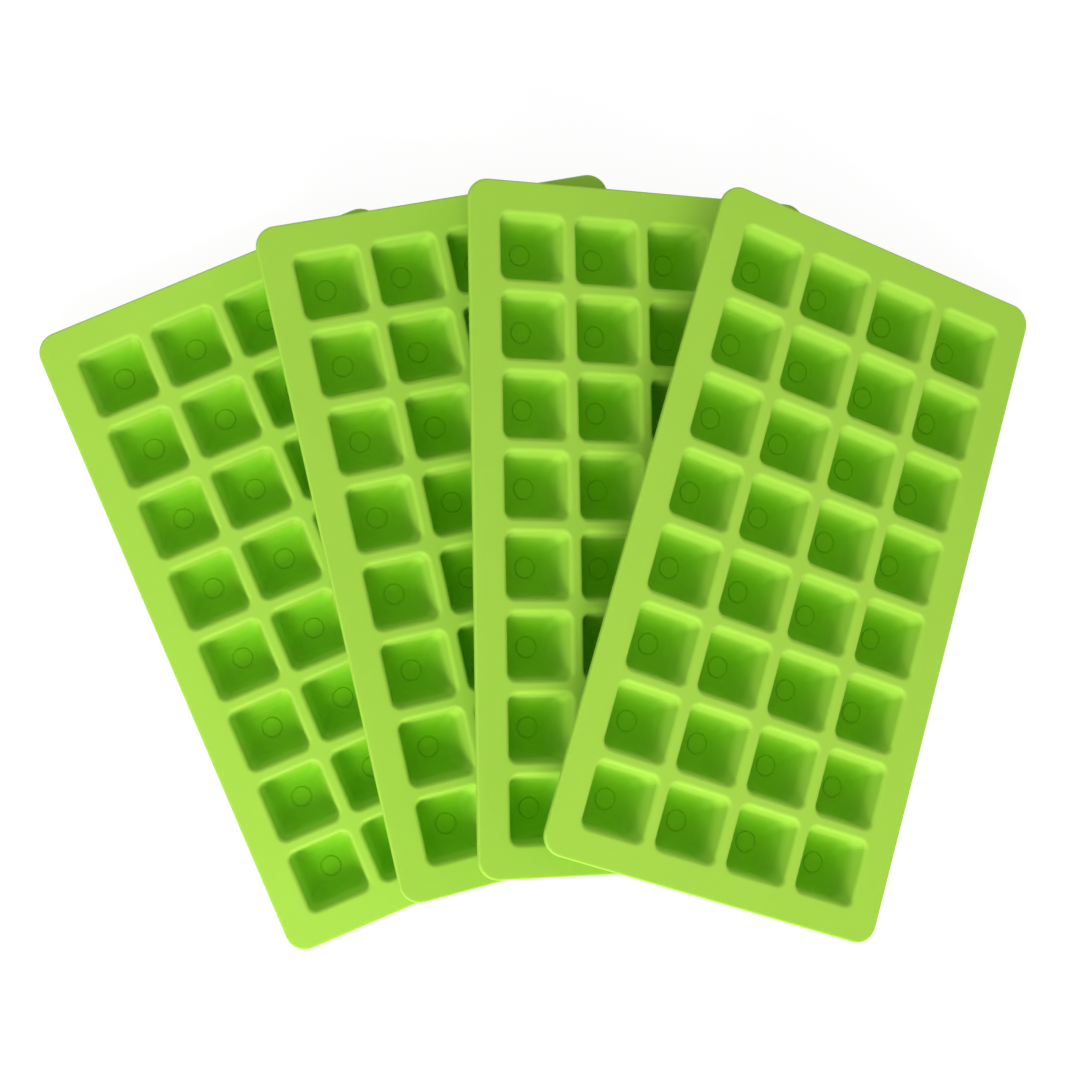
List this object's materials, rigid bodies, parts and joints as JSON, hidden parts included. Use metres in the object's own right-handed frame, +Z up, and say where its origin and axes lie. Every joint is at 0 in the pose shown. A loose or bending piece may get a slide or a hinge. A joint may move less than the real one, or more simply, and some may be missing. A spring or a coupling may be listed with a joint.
{
  "type": "food mould tray set",
  "caption": "Fanned set of flexible silicone food mould trays: flat round-cornered flange with a grid of square pockets, each tray leaning on the next.",
  "frame": {"origin": "middle of the fan's footprint, on the surface that it lies on", "axes": "+X from the lowest tray at the left to the top tray at the right, +Y along the trays to their far ends, +Z up"},
  "size_m": [0.3204, 0.25, 0.0715],
  "materials": {
    "silicone": "matte"
  },
  "bodies": {
    "tray_1": {"tray_1": "silicone"},
    "tray_2": {"tray_2": "silicone"},
    "tray_3": {"tray_3": "silicone"},
    "tray_4": {"tray_4": "silicone"}
  },
  "joints": [
    {"name": "tray_2_lift", "type": "slide", "parent": "tray_1", "child": "tray_2", "axis": [0, 0, 1], "range_m": [0, 0.04]},
    {"name": "tray_3_lift", "type": "slide", "parent": "tray_2", "child": "tray_3", "axis": [0, 0, 1], "range_m": [0, 0.06]},
    {"name": "tray_4_lift", "type": "slide", "parent": "tray_3", "child": "tray_4", "axis": [0, 0, 1], "range_m": [0, 0.08]}
  ]
}
